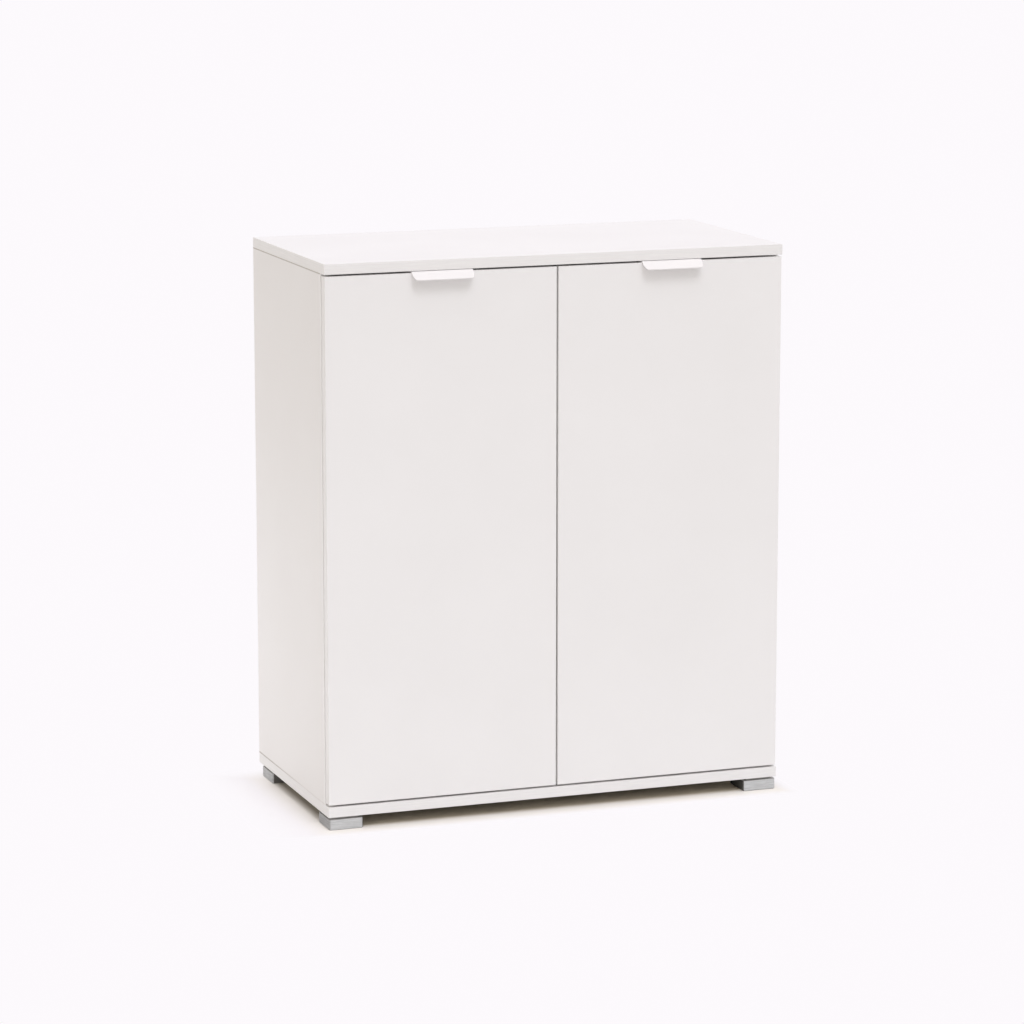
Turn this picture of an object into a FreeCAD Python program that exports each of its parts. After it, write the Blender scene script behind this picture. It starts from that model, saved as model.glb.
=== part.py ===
# Free-standing two-door base cabinet on four low corner feet.
# Lengths are millimetres. X runs to the right, the doors face -Y and Z is up.
# The origin lies on the floor, in the middle of the whole width and depth.

import FreeCAD
import Part
import math
import os

V = FreeCAD.Vector

RIGHT = V(1, 0, 0)
LEFT = V(-1, 0, 0)
REARWARD = V(0, 1, 0)
FORWARD = V(0, -1, 0)
UP = V(0, 0, 1)
DOWN = V(0, 0, -1)
full_turn = 360.0
parallel_share = 0.999

# Cabinet box
cabinet_width = 740.0
cabinet_depth = 370.0
cabinet_height = 865.0
board = 16.0
edge_band = 0.8
edge_band_round = 0.5
overrun = 4.0
fit_play = 0.1

# Feet
foot_side = 54.0
foot_body_height = 16.5
foot_shadow_gap = 3.5
foot_side_inset = 1.0
foot_front_inset = 1.0
foot_rear_inset = 14.0
foot_corner_round = 3.0
foot_bottom_round = 1.6
foot_neck_inset = 5.0
foot_wall = 2.5
foot_floor = 3.0
foot_rib = 2.0
foot_post_radius = 6.5
foot_screw_head_radius = 4.0
foot_screw_head_height = 2.6
foot_screw_radius = 2.1
foot_screw_length = 30.0
foot_screw_recess = 1.5

# Doors
door_thickness = 16.0
door_gap = 3.0
door_middle_gap = 3.0
door_setback = 1.0
door_side_inset = 1.0
door_rest_gap = 2.0
bumper_radius = 4.0
bumper_height = 1.6
bumper_rim = 0.5
bumper_end_inset = 22.0

# Edge pulls of one even wall
handle_width = 97.0
handle_sheet = 2.4
handle_lip_bend = 1.8
lip_reach = 15.0
lip_drop = 10.3
lip_corner_round = 9.0
handle_back_drop = 30.0
handle_screw_spacing = 64.0
handle_screw_drop = 20.0
handle_screw_head_radius = 3.5
handle_screw_head_height = 1.8
handle_screw_radius = 1.75
handle_screw_length = 13.0

# Shelves, their peg holes and pegs
shelf_side_gap = 1.0
shelf_front_setback = 20.0
shelf_back_gap = 0.5
peg_row_front_inset = 37.0
peg_row_rear_inset = 60.0
peg_hole_pitch = 32.0
peg_first_hole = 48.0
lower_shelf_pitch_count = 7
upper_shelf_pitch_count = 15
peg_radius = 2.5
peg_depth = 8.0
peg_hole_depth = 9.0
peg_rest_radius = 3.5
peg_rest_length = 7.0
peg_rest_flat = 2.4

# Back panels in their groove, joined by a strip of H section
back_thickness = 3.0
back_rear_inset = 8.0
groove_depth = 8.0
groove_play = 0.1
back_edge_play = 0.5
strip_half_width = 8.0
strip_wall = 1.0

# Cam fittings and dowels between the panels
cam_row_inset = 70.0
cam_radius = 7.5
cam_depth = 12.5
cam_reach = 34.0
cam_axis_depth = 8.0
cam_key_half_length = 4.0
cam_key_half_width = 0.7
cam_key_depth = 2.0
bolt_thread_radius = 2.5
bolt_thread_length = 11.0
bolt_shank_radius = 3.0
bolt_neck_radius = 2.0
bolt_neck_length = 3.0
bolt_head_radius = 3.4
bolt_head_length = 2.5
bolt_bore_radius = 3.8
dowel_radius = 4.0
dowel_in_panel = 10.0
dowel_in_side = 20.0
dowel_pitch = 32.0
dowel_end_play = 0.5
dowel_chamfer = 1.0
dowel_flute_radius = 0.45
dowel_flute_count = 12

# Concealed hinges. u runs inboard from the door's outer edge and v rearward from its back face.
hinge_end_inset = 96.0
cup_u = 21.5
cup_radius = 17.5
cup_depth = 12.4
cup_wall = 0.8
cup_floor = 0.8
cup_bottom_round = 1.5
flange_radius = 19.0
flange_thickness = 1.2
ear_offset = 6.0
ear_radius = 6.5
ear_screw_spacing = 48.0
link_exit_u = 9.0
link_exit_half_width = 7.0
cup_screw_head_radius = 3.5
cup_screw_head_height = 1.6
cup_screw_radius = 1.75
cup_screw_length = 13.5

# Hinge linkage, doors closed
outer_arm_pivot = (19.5, 2.0)
inner_arm_pivot = (34.0, 15.0)
outer_cup_pivot = (8.0, -6.35)
inner_cup_pivot = (9.05, -2.2)
inner_link_tip = (8.89, -2.2)
outer_link_bends = ((10.5, -10.1), (15.3, -10.1), (22.0, -3.5))
inner_link_bends = ((13.5, -4.8), (19.5, -3.4), (25.0, 2.5))
link_half_thickness = 1.3
link_bend = 2.4
link_eye_radius = 2.0
link_root_radius = 2.2
open_eye_radius = 3.0
open_eye_play = 1.3
cheek_inner = 2.9
cheek_outer = 4.5
lug_inner = 1.75
lug_outer = 2.75
lug_radius = 1.9
inner_link_half_width = 1.6
inner_link_root_half_width = 4.9
pivot_pin_radius = 1.1
open_pin_radius = 0.9
pin_head_radius = 1.8
pin_head_height = 0.8
running_play = 0.05

# Hinge arm: a channel whose cheeks hold the two arm pins
arm_web_u = 31.5
arm_root_u = 18.2
arm_end_v = 62.0
arm_outline = ((16.7, 0.9), (18.6, -0.7), (20.8, -0.7), (24.0, 1.6), (36.6, 12.6), (37.0, 17.6),
               (arm_web_u, 24.0), (arm_web_u, arm_end_v), (arm_root_u, arm_end_v), (arm_root_u, 22.0),
               (16.7, 16.0))
arm_corner_round = 2.0
arm_inner = 5.2
arm_sheet = 1.2
arm_web_start_v = 18.5
arm_screw_v = 52.0
adjust_screw_v = 34.0
arm_screw_head_radius = 3.4
arm_screw_head_height = 1.8
arm_screw_radius = 2.0
arm_screw_length = 11.0

# Hinge mounting plate on the side panel
plate_screw_inset = 37.0
plate_thickness = 2.5
plate_start_v = 24.0
plate_length = 40.0
plate_half_width = 8.0
plate_wing_half_length = 26.0
plate_wing_half_width = 6.5
plate_corner_round = 3.0
plate_slot_half_travel = 1.5
saddle_start_v = 28.0
saddle_length = 32.0
saddle_side_play = 0.3
saddle_round = 1.5
plate_screw_spacing = 32.0
plate_screw_head_radius = 3.5
plate_screw_head_height = 1.8
plate_screw_radius = 1.75
plate_screw_length = 14.0

# Screw heads: shares of the head's own radius and height
head_crown_share = 0.5
recess_length_share = 0.6
recess_width_share = 0.14
recess_depth_share = 0.7

# Places worked out from the sizes above
half_width = cabinet_width / 2
foot_height = foot_body_height + foot_shadow_gap
handle_overhang = lip_reach - door_setback
front_y = -(cabinet_depth + handle_overhang) / 2 + handle_overhang
back_y = front_y + cabinet_depth
door_front_y = front_y + door_setback
door_back_y = door_front_y + door_thickness
side_front_y = door_back_y + door_rest_gap
base_low_z = foot_height
base_top_z = base_low_z + board
top_low_z = cabinet_height - board
door_low_z = base_top_z + door_gap
door_top_z = top_low_z - door_gap
door_outer_x = -half_width + door_side_inset
door_free_x = -door_middle_gap / 2
door_middle_x = (door_outer_x + door_free_x) / 2
handle_edge_bend = edge_band_round + handle_sheet / 2
side_inner_x = -half_width + board
hinge_heights = (door_low_z + hinge_end_inset, door_top_z - hinge_end_inset)
groove_back_y = back_y - back_rear_inset
back_panel_front_y = groove_back_y - groove_play - back_thickness
groove_front_y = back_panel_front_y - groove_play
cam_rows = (side_front_y + cam_row_inset, back_y - cam_row_inset)
dowel_rows = (cam_rows[0] + dowel_pitch, cam_rows[1] - dowel_pitch)
joint_x = side_inner_x - cam_axis_depth
peg_rows = (side_front_y + peg_row_front_inset, back_y - peg_row_rear_inset)
peg_base_z = base_top_z + peg_first_hole
shelf_pitch_counts = (lower_shelf_pitch_count, upper_shelf_pitch_count)
shelf_front_y = side_front_y + shelf_front_setback
shelf_back_y = back_panel_front_y - groove_play - strip_wall - shelf_back_gap
shelf_half_width = -side_inner_x - shelf_side_gap


def block(x0, x1, y0, y1, z0, z1):
    """A box between two opposite corners."""
    return Part.makeBox(x1 - x0, y1 - y0, z1 - z0, V(x0, y0, z0))


def rod(base, direction, radius, length):
    return Part.makeCylinder(radius, length, base, direction)


def group(shapes):
    return Part.makeCompound(list(shapes))


def mirrored(shape):
    """The same piece on the other side of the cabinet's middle plane."""
    return shape.mirror(V(0, 0, 0), RIGHT)


def raised(shape, heights):
    """Copies of a hinge piece, drawn at height zero, at each hinge's height."""
    return [shape.translated(UP * height) for height in heights]


def crown_arc(top, rim):
    """A round crown from its top, on the axis, to its rim."""
    rise = rim.z - top.z
    crown_radius = (rim.x * rim.x + rise * rise) / (2 * rise)
    half = math.asin(rim.x / abs(crown_radius)) / 2
    middle = V(abs(crown_radius) * math.sin(half), 0, top.z + crown_radius * (1 - math.cos(half)))
    return Part.Arc(top, middle, rim).toShape()


def turned_outline(profile, crowned=False):
    """A solid of revolution about Z from (radius, height) points; the first stretch may be a crown."""
    points = [V(radius, 0, height) for radius, height in profile]
    ends = points[1:] + points[:1]
    edges = [Part.LineSegment(start, end).toShape() for start, end in zip(points, ends)]
    if crowned:
        edges[0] = crown_arc(points[0], points[1])
    return Part.Face(Part.Wire(edges)).revolve(V(0, 0, 0), UP, full_turn)


def rounded_line(points, bend, closed=False):
    """Straight runs joined by tangent arcs, as a bent strip lies; bend is one radius or one per corner."""
    count = len(points)
    corners = []
    for index, corner in enumerate(points):
        if not closed and index in (0, count - 1):
            corners.append((corner, None, corner))
            continue
        radius = bend[index] if isinstance(bend, tuple) else bend
        back = (points[index - 1] - corner).normalize()
        ahead = (points[(index + 1) % count] - corner).normalize()
        half = back.getAngle(ahead) / 2
        inward = (back + ahead).normalize()
        middle = corner + inward * (radius / math.sin(half) - radius)
        reach = radius / math.tan(half)
        corners.append((corner + back * reach, middle, corner + ahead * reach))
    edges = []
    for index, (start, middle, end) in enumerate(corners):
        if middle:
            edges.append(Part.Arc(start, middle, end).toShape())
        if closed or index < count - 1:
            following = corners[(index + 1) % count][0]
            edges.append(Part.LineSegment(end, following).toShape())
    return Part.Wire(edges)


def bent_strip(points, bend, half_thickness):
    """The section of a strip of even thickness about a rounded line, with round ends."""
    line = rounded_line(points, bend)
    return line.makeOffset2D(half_thickness, join=0, fill=True, openResult=False, intersection=False)


def lobed_plate(first, first_radius, second, second_radius, thickness):
    """A plate round two circles and the tangents between them; thickness is a vector."""
    across = second - first
    along = V(across).normalize()
    aside = V(thickness).normalize().cross(along)
    lean = math.acos((first_radius - second_radius) / across.Length)

    def rim(middle, radius, angle):
        return middle + along * (radius * math.cos(angle)) + aside * (radius * math.sin(angle))

    edges = [
        Part.LineSegment(rim(first, first_radius, lean), rim(second, second_radius, lean)),
        Part.Arc(rim(second, second_radius, lean), rim(second, second_radius, 0),
                 rim(second, second_radius, -lean)),
        Part.LineSegment(rim(second, second_radius, -lean), rim(first, first_radius, -lean)),
        Part.Arc(rim(first, first_radius, -lean), rim(first, first_radius, math.pi),
                 rim(first, first_radius, lean)),
    ]
    return Part.Face(Part.Wire([edge.toShape() for edge in edges])).extrude(thickness)


def stood(shape, base, direction):
    """Moves a piece drawn along +Z so that it starts at base and runs along direction."""
    copy = shape.copy()
    copy.Placement = FreeCAD.Placement(base, FreeCAD.Rotation(UP, direction))
    return copy


def cross_recess(head_radius, head_height):
    """The driver recess in a screw head that starts at height zero."""
    reach = head_radius * recess_length_share
    half = head_radius * recess_width_share
    depth = head_height * recess_depth_share
    along = block(-reach, reach, -half, half, -overrun, depth)
    return along.fuse(block(-half, half, -reach, reach, -overrun, depth))


def pan_screw(head_radius, head_height, shank_radius, length, base, direction):
    """A crowned screw: base is the middle of the head's top, direction the way it is driven."""
    solid = turned_outline((
        (0, 0),
        (head_radius, head_height * head_crown_share),
        (head_radius, head_height),
        (shank_radius, head_height),
        (shank_radius, length - shank_radius),
        (0, length),
    ), crowned=True)
    return stood(solid.cut(cross_recess(head_radius, head_height)), base, direction)


def sunk_screw(head_radius, head_height, shank_radius, length, base, direction):
    """A countersunk screw: base is the middle of the head's flat top."""
    solid = turned_outline((
        (0, 0),
        (head_radius, 0),
        (shank_radius, head_height),
        (shank_radius, length - shank_radius),
        (0, length),
    ))
    return stood(solid.cut(cross_recess(head_radius, head_height)), base, direction)


def edges_facing(shape, direction):
    """The edges round the outermost face of a strip in one direction."""
    far = max(vertex.Point.dot(direction) for vertex in shape.Vertexes)
    return [
        edge for edge in shape.Edges
        if min(vertex.Point.dot(direction) for vertex in edge.Vertexes) > far - edge_band_round
    ]


def edges_along(shape, direction):
    """The straight edges of a shape that run along one direction."""
    return [
        edge for edge in shape.Edges
        if abs(edge.tangentAt(edge.FirstParameter).dot(direction)) > parallel_share
    ]


def banding(x0, x1, y0, y1, z0, z1, outward, round_ends=False):
    """One glued edge strip, its long outer edges rounded, and its ends where they make a corner."""
    strip = block(x0, x1, y0, y1, z0, z1)
    rounded = [
        edge for edge in edges_facing(strip, outward)
        if round_ends or edge.Length > board + edge_band
    ]
    return strip.makeFillet(edge_band_round, rounded)


# Panels

def end_panel_core(low_z, inner_z, inward):
    """Top or base panel: inner_z is the face towards the cabinet and inward points into the board."""
    core = block(-half_width + edge_band, half_width - edge_band, front_y + edge_band, back_y,
                 low_z, low_z + board)
    cuts = []
    groove_reach = -side_inner_x + groove_depth
    groove_start = inner_z - inward.z * overrun
    groove_end = inner_z + inward.z * groove_depth
    cuts.append(block(-groove_reach, groove_reach, groove_front_y, groove_back_y,
                      min(groove_start, groove_end), max(groove_start, groove_end)))
    for x in (joint_x, -joint_x):
        for y in cam_rows:
            cuts.append(rod(V(x, y, groove_start), inward, bolt_thread_radius + fit_play,
                            bolt_thread_length + fit_play + overrun))
        for y in dowel_rows:
            cuts.append(rod(V(x, y, groove_start), inward, dowel_radius + fit_play,
                            dowel_in_panel + dowel_end_play + overrun))
    return core.cut(cuts)


def end_panel_bands(low_z):
    """Front strip and the two side strips of the top or base panel."""
    high_z = low_z + board
    front = banding(-half_width, half_width, front_y, front_y + edge_band, low_z, high_z, FORWARD,
                    round_ends=True)
    side = banding(-half_width, -half_width + edge_band, front_y + edge_band, back_y, low_z, high_z, LEFT)
    return group([front, side, mirrored(side)])


def top_panel():
    return end_panel_core(top_low_z, top_low_z, UP)


def base_panel():
    panel = end_panel_core(base_low_z, base_top_z, DOWN)
    hole_depth = foot_screw_length + foot_screw_recess - foot_height
    return panel.cut([
        rod(V(x, y, base_low_z - overrun), UP, foot_screw_radius + fit_play, hole_depth + overrun)
        for x, y in foot_middles()
    ])


def left_side_panel():
    panel = block(-half_width, side_inner_x, side_front_y + edge_band, back_y, base_top_z, top_low_z)
    cuts = [block(side_inner_x - groove_depth, side_inner_x + overrun, groove_front_y, groove_back_y,
                  base_top_z - overrun, top_low_z + overrun)]
    for end_z, inward in ((base_top_z, UP), (top_low_z, DOWN)):
        start_z = end_z - inward.z * overrun
        for y in cam_rows:
            cuts.append(rod(V(joint_x, y, start_z), inward, bolt_bore_radius + fit_play,
                            cam_reach + overrun))
            cuts.append(rod(V(side_inner_x + overrun, y, end_z + inward.z * cam_reach), LEFT,
                            cam_radius + fit_play, cam_depth + fit_play + overrun))
        for y in dowel_rows:
            cuts.append(rod(V(joint_x, y, start_z), inward, dowel_radius + fit_play,
                            dowel_in_side + dowel_end_play + overrun))
    for pitch_count in shelf_pitch_counts:
        for y in peg_rows:
            for step in (-1, 0, 1):
                z = peg_base_z + (pitch_count + step) * peg_hole_pitch
                cuts.append(rod(V(side_inner_x + overrun, y, z), LEFT, peg_radius + fit_play,
                                peg_hole_depth + overrun))
    for height in hinge_heights:
        for offset in (-plate_screw_spacing / 2, plate_screw_spacing / 2):
            cuts.append(rod(V(side_inner_x + overrun, side_front_y + plate_screw_inset, height + offset),
                            LEFT, plate_screw_radius + fit_play, plate_screw_length + overrun))
    return panel.cut(cuts)


def side_bands():
    strip = banding(-half_width, side_inner_x, side_front_y, side_front_y + edge_band,
                    base_top_z, top_low_z, FORWARD)
    return group([strip, mirrored(strip)])


def back_panel_left():
    """Half of the thin back: it stands in the base's groove and reaches into the side's."""
    return block(side_inner_x - groove_depth + back_edge_play, -strip_wall / 2 - groove_play,
                 back_panel_front_y, back_panel_front_y + back_thickness,
                 base_top_z - groove_depth, top_low_z + groove_depth - back_edge_play)


def back_joining_strip():
    """H section: two flanges over the joint of the back panels and a web between them."""
    low = base_top_z
    high = top_low_z - back_edge_play
    front_face = back_panel_front_y - groove_play
    rear_face = back_panel_front_y + back_thickness + groove_play
    front = block(-strip_half_width, strip_half_width, front_face - strip_wall, front_face, low, high)
    rear = block(-strip_half_width, strip_half_width, rear_face, rear_face + strip_wall, low, high)
    web = block(-strip_wall / 2, strip_wall / 2, front_face, rear_face, low, high)
    return front.fuse([rear, web]).removeSplitter()


def shelf_low_z(pitch_count):
    return peg_base_z + pitch_count * peg_hole_pitch + peg_rest_flat


def shelf(pitch_count):
    low_z = shelf_low_z(pitch_count)
    return block(-shelf_half_width, shelf_half_width, shelf_front_y + edge_band, shelf_back_y,
                 low_z, low_z + board)


def shelf_bands():
    strips = []
    for pitch_count in shelf_pitch_counts:
        low_z = shelf_low_z(pitch_count)
        strips.append(banding(-shelf_half_width, shelf_half_width, shelf_front_y,
                              shelf_front_y + edge_band, low_z, low_z + board, FORWARD))
    return group(strips)


def shelf_peg():
    """A peg along +X from its hole, with a rest whose top is cut flat for the shelf."""
    peg = rod(V(-peg_depth, 0, 0), RIGHT, peg_radius, peg_depth)
    rest = rod(V(0, 0, 0), RIGHT, peg_rest_radius, peg_rest_length)
    waste = block(-overrun, peg_rest_length + overrun, -peg_rest_radius, peg_rest_radius,
                  peg_rest_flat, peg_rest_radius + overrun)
    return peg.fuse(rest.cut(waste)).removeSplitter()


def shelf_pegs():
    pegs = []
    for pitch_count in shelf_pitch_counts:
        for y in peg_rows:
            peg = shelf_peg().translated(V(side_inner_x, y, peg_base_z + pitch_count * peg_hole_pitch))
            pegs.extend([peg, mirrored(peg)])
    return group(pegs)


# Panel fittings

def cam_lock(y, end_z, inward):
    """A cam in the side panel's inner face, with the channel that grips the bolt's head."""
    z = end_z + inward.z * cam_reach
    body = rod(V(side_inner_x, y, z), LEFT, cam_radius, cam_depth)
    channel_start = z - inward.z * (cam_radius + overrun)
    channel = rod(V(joint_x, y, channel_start), inward, bolt_bore_radius,
                  cam_radius + overrun + bolt_head_length)
    key_reach = side_inner_x - cam_key_depth
    along = block(key_reach, side_inner_x + overrun, y - cam_key_half_length, y + cam_key_half_length,
                  z - cam_key_half_width, z + cam_key_half_width)
    across = block(key_reach, side_inner_x + overrun, y - cam_key_half_width, y + cam_key_half_width,
                   z - cam_key_half_length, z + cam_key_half_length)
    return body.cut([channel, along, across])


def cam_bolt(y, end_z, inward):
    """A steel bolt screwed into the top or base, its head held in the cam."""
    head_start = cam_reach - bolt_head_length / 2
    neck_start = head_start - bolt_neck_length
    solid = turned_outline((
        (0, -bolt_thread_length),
        (bolt_thread_radius, -bolt_thread_length),
        (bolt_thread_radius, 0),
        (bolt_shank_radius, 0),
        (bolt_shank_radius, neck_start),
        (bolt_neck_radius, neck_start),
        (bolt_neck_radius, head_start),
        (bolt_head_radius, head_start),
        (bolt_head_radius, head_start + bolt_head_length),
        (0, head_start + bolt_head_length),
    ))
    return stood(solid, V(joint_x, y, end_z), inward)


def joints_of(piece, rows):
    """The same fitting at both ends of both side panels."""
    low = [piece(y, base_top_z, UP) for y in rows]
    high = [piece(y, top_low_z, DOWN) for y in rows]
    return group(low + high + [mirrored(one) for one in low + high])


def dowel(y, end_z, inward):
    """A fluted wooden dowel with bevelled ends."""
    length = dowel_in_panel + dowel_in_side
    peg = rod(V(0, 0, 0), UP, dowel_radius, length)
    peg = peg.makeChamfer(dowel_chamfer, [edge for edge in peg.Edges if edge.Closed])
    flute = rod(V(dowel_radius, 0, -overrun), UP, dowel_flute_radius, length + 2 * overrun)
    flutes = [
        flute.rotated(V(0, 0, 0), UP, full_turn * index / dowel_flute_count)
        for index in range(dowel_flute_count)
    ]
    return stood(peg.cut(flutes), V(joint_x, y, end_z - inward.z * dowel_in_panel), inward)


# Feet

def foot_corners():
    """Low-X, low-Y corner of each foot: front left, front right, rear left, rear right."""
    left = -half_width + foot_side_inset
    right = half_width - foot_side_inset - foot_side
    front = front_y + foot_front_inset
    rear = back_y - foot_rear_inset - foot_side
    return ((left, front), (right, front), (left, rear), (right, rear))


def foot_middles():
    return [(x + foot_side / 2, y + foot_side / 2) for x, y in foot_corners()]


def foot(x0, y0):
    """A moulded corner foot, hollow from above, with a narrower neck against the base panel."""
    x1 = x0 + foot_side
    y1 = y0 + foot_side
    body = block(x0, x1, y0, y1, 0, foot_body_height)
    body = body.makeFillet(foot_corner_round, edges_along(body, UP))
    low_edges = [edge for edge in body.Edges if edge.BoundBox.ZMax < foot_bottom_round]
    body = body.makeFillet(foot_bottom_round, low_edges)
    neck = block(x0 + foot_neck_inset, x1 - foot_neck_inset, y0 + foot_neck_inset, y1 - foot_neck_inset,
                 foot_body_height, foot_height)
    neck = neck.makeFillet(foot_corner_round, edges_along(neck, UP))
    inset = foot_neck_inset + foot_wall
    cavity = block(x0 + inset, x1 - inset, y0 + inset, y1 - inset, foot_floor, foot_height + overrun)
    shell = body.fuse(neck).cut(cavity)
    middle_x = x0 + foot_side / 2
    middle_y = y0 + foot_side / 2
    post = rod(V(middle_x, middle_y, foot_floor), UP, foot_post_radius, foot_height - foot_floor)
    rib_x = block(x0 + inset, x1 - inset, middle_y - foot_rib / 2, middle_y + foot_rib / 2,
                  foot_floor, foot_height)
    rib_y = block(middle_x - foot_rib / 2, middle_x + foot_rib / 2, y0 + inset, y1 - inset,
                  foot_floor, foot_height)
    hole = turned_outline((
        (0, -overrun),
        (foot_screw_head_radius + fit_play, -overrun),
        (foot_screw_head_radius + fit_play, foot_screw_recess),
        (foot_screw_radius + fit_play, foot_screw_recess + foot_screw_head_height),
        (foot_screw_radius + fit_play, foot_height + overrun),
        (0, foot_height + overrun),
    ))
    solid = shell.fuse([post, rib_x, rib_y]).removeSplitter()
    return solid.cut(hole.translated(V(middle_x, middle_y, 0)))


def foot_screws():
    return group([
        sunk_screw(foot_screw_head_radius, foot_screw_head_height, foot_screw_radius, foot_screw_length,
                   V(x, y, foot_screw_recess), UP)
        for x, y in foot_middles()
    ])


# Doors and what is screwed to them

def left_door_panel():
    panel = block(door_outer_x + edge_band, door_free_x - edge_band, door_front_y, door_back_y,
                  door_low_z + edge_band, door_top_z - edge_band)
    cuts = []
    for height in hinge_heights:
        cuts.append(rod(V(door_outer_x + cup_u, door_back_y + overrun, height), FORWARD,
                        cup_radius + fit_play, cup_depth + fit_play + overrun))
        for x, z in cup_screw_places(height):
            cuts.append(rod(V(x, door_back_y + overrun, z), FORWARD, cup_screw_radius + fit_play,
                            cup_screw_length + overrun))
    for x in handle_screw_xs():
        cuts.append(rod(V(x, door_back_y + overrun, door_top_z - handle_screw_drop), FORWARD,
                        handle_screw_radius + fit_play, handle_screw_length + overrun))
    return panel.cut(cuts)


def left_door_bands():
    """Strips on all four edges of the door, rounded on the front and on the back."""
    low = banding(door_outer_x, door_free_x, door_front_y, door_back_y,
                  door_low_z, door_low_z + edge_band, DOWN, round_ends=True)
    high = banding(door_outer_x, door_free_x, door_front_y, door_back_y,
                   door_top_z - edge_band, door_top_z, UP, round_ends=True)
    outer = banding(door_outer_x, door_outer_x + edge_band, door_front_y, door_back_y,
                    door_low_z + edge_band, door_top_z - edge_band, LEFT)
    free = banding(door_free_x - edge_band, door_free_x, door_front_y, door_back_y,
                   door_low_z + edge_band, door_top_z - edge_band, RIGHT)
    return group([low, high, outer, free])


def left_bumpers():
    """Soft domes that meet the front edge of the side panel."""
    dome = turned_outline((
        (0, bumper_height),
        (bumper_radius, bumper_rim),
        (bumper_radius, 0),
        (0, 0),
    ), crowned=True)
    x = door_outer_x + (side_inner_x - door_outer_x) / 2
    heights = (door_low_z + bumper_end_inset, door_top_z - bumper_end_inset)
    return group([stood(dome, V(x, door_back_y, z), REARWARD) for z in heights])


def handle_screw_xs():
    return (door_middle_x - handle_screw_spacing / 2, door_middle_x + handle_screw_spacing / 2)


def left_handle():
    """A folded pull: down the door's back, over its top edge and out as a sloping lip."""
    half = handle_sheet / 2
    x0 = door_middle_x - handle_width / 2
    fold = (
        V(x0, door_back_y + half, door_top_z - handle_back_drop + half),
        V(x0, door_back_y + half, door_top_z + half),
        V(x0, door_front_y - half, door_top_z + half),
        V(x0, door_front_y - lip_reach + half, door_top_z - lip_drop + half),
    )
    section = bent_strip(fold, (0, handle_edge_bend, handle_lip_bend, 0), half)
    pull = section.extrude(RIGHT * handle_width)
    lip_space = block(x0, x0 + handle_width, door_front_y - lip_reach - overrun, door_front_y,
                      door_top_z - lip_drop, door_top_z + handle_sheet)
    low_corners = [
        edge for edge in edges_along(lip_space, REARWARD)
        if edge.BoundBox.ZMax < door_top_z - lip_drop / 2
    ]
    waste = lip_space.cut(lip_space.makeFillet(lip_corner_round, low_corners))
    holes = [
        rod(V(x, door_back_y - overrun, door_top_z - handle_screw_drop), REARWARD,
            handle_screw_radius + fit_play, handle_sheet + 2 * overrun)
        for x in handle_screw_xs()
    ]
    return pull.cut([waste] + holes)


def left_handle_screws():
    head_y = door_back_y + handle_sheet + handle_screw_head_height
    return group([
        pan_screw(handle_screw_head_radius, handle_screw_head_height, handle_screw_radius,
                  handle_screw_length, V(x, head_y, door_top_z - handle_screw_drop), FORWARD)
        for x in handle_screw_xs()
    ])


# Hinges, drawn for the left door at height zero

def hinge_point(u, v, z):
    return V(door_outer_x + u, door_back_y + v, z)


def cup_screw_places(height):
    x = door_outer_x + cup_u + ear_offset
    return ((x, height - ear_screw_spacing / 2), (x, height + ear_screw_spacing / 2))


def cup_lug():
    """One of two lugs on the cup's wall, which carry the pins beside the inner link."""
    start = -lug_outer
    thickness = lug_outer - lug_inner
    wall_u = cup_u - cup_radius + cup_wall / 2
    line = Part.makePolygon([
        hinge_point(wall_u + lug_radius, inner_cup_pivot[1], start),
        hinge_point(*inner_cup_pivot, start),
        hinge_point(*outer_cup_pivot, start),
    ])
    face = line.makeOffset2D(lug_radius, join=0, fill=True, openResult=False, intersection=False)
    root_low = hinge_point(wall_u, outer_cup_pivot[1] - lug_radius, start)
    root_high = hinge_point(outer_cup_pivot[0], inner_cup_pivot[1] + lug_radius, start)
    root = block(root_low.x, root_high.x, root_low.y, root_high.y, start, start + thickness)
    return face.extrude(UP * thickness).fuse(root)


def hinge_cup():
    """The cast bowl with its winged flange, pin lugs and the notch that the links leave by."""
    bowl = rod(hinge_point(cup_u, -cup_depth, 0), REARWARD, cup_radius, cup_depth)
    bottom = [edge for edge in bowl.Edges if edge.BoundBox.YMax < door_back_y - cup_depth + cup_floor]
    bowl = bowl.makeFillet(cup_bottom_round, bottom)
    wings = [
        lobed_plate(hinge_point(cup_u, 0, 0), flange_radius, V(x, door_back_y, z), ear_radius,
                    REARWARD * flange_thickness)
        for x, z in cup_screw_places(0)
    ]
    notch_end = hinge_point(link_exit_u, 0, 0)
    notch = block(door_outer_x, notch_end.x, door_back_y, door_back_y + flange_thickness + overrun,
                  -link_exit_half_width, link_exit_half_width)
    hollow = rod(hinge_point(cup_u, cup_floor - cup_depth, 0), REARWARD, cup_radius - cup_wall,
                 cup_depth + overrun)
    cuts = [notch, hollow]
    for x, z in cup_screw_places(0):
        cuts.append(rod(V(x, door_back_y - overrun, z), REARWARD, cup_screw_radius + fit_play,
                        flange_thickness + 2 * overrun))
    lug = cup_lug()
    lugs = [lug, lug.mirror(V(0, 0, 0), UP)]
    bores = [
        rod(hinge_point(*pivot, -cup_radius), UP, radius, 2 * cup_radius)
        for pivot, radius in ((outer_cup_pivot, pivot_pin_radius), (inner_cup_pivot, open_pin_radius))
    ]
    return bowl.fuse(wings).cut(cuts).fuse(lugs).removeSplitter().cut(bores)


def hinge_cup_screws():
    head_y = door_back_y + flange_thickness + cup_screw_head_height
    return [
        pan_screw(cup_screw_head_radius, cup_screw_head_height, cup_screw_radius, cup_screw_length,
                  V(x, head_y, z), FORWARD)
        for x, z in cup_screw_places(0)
    ]


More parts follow.
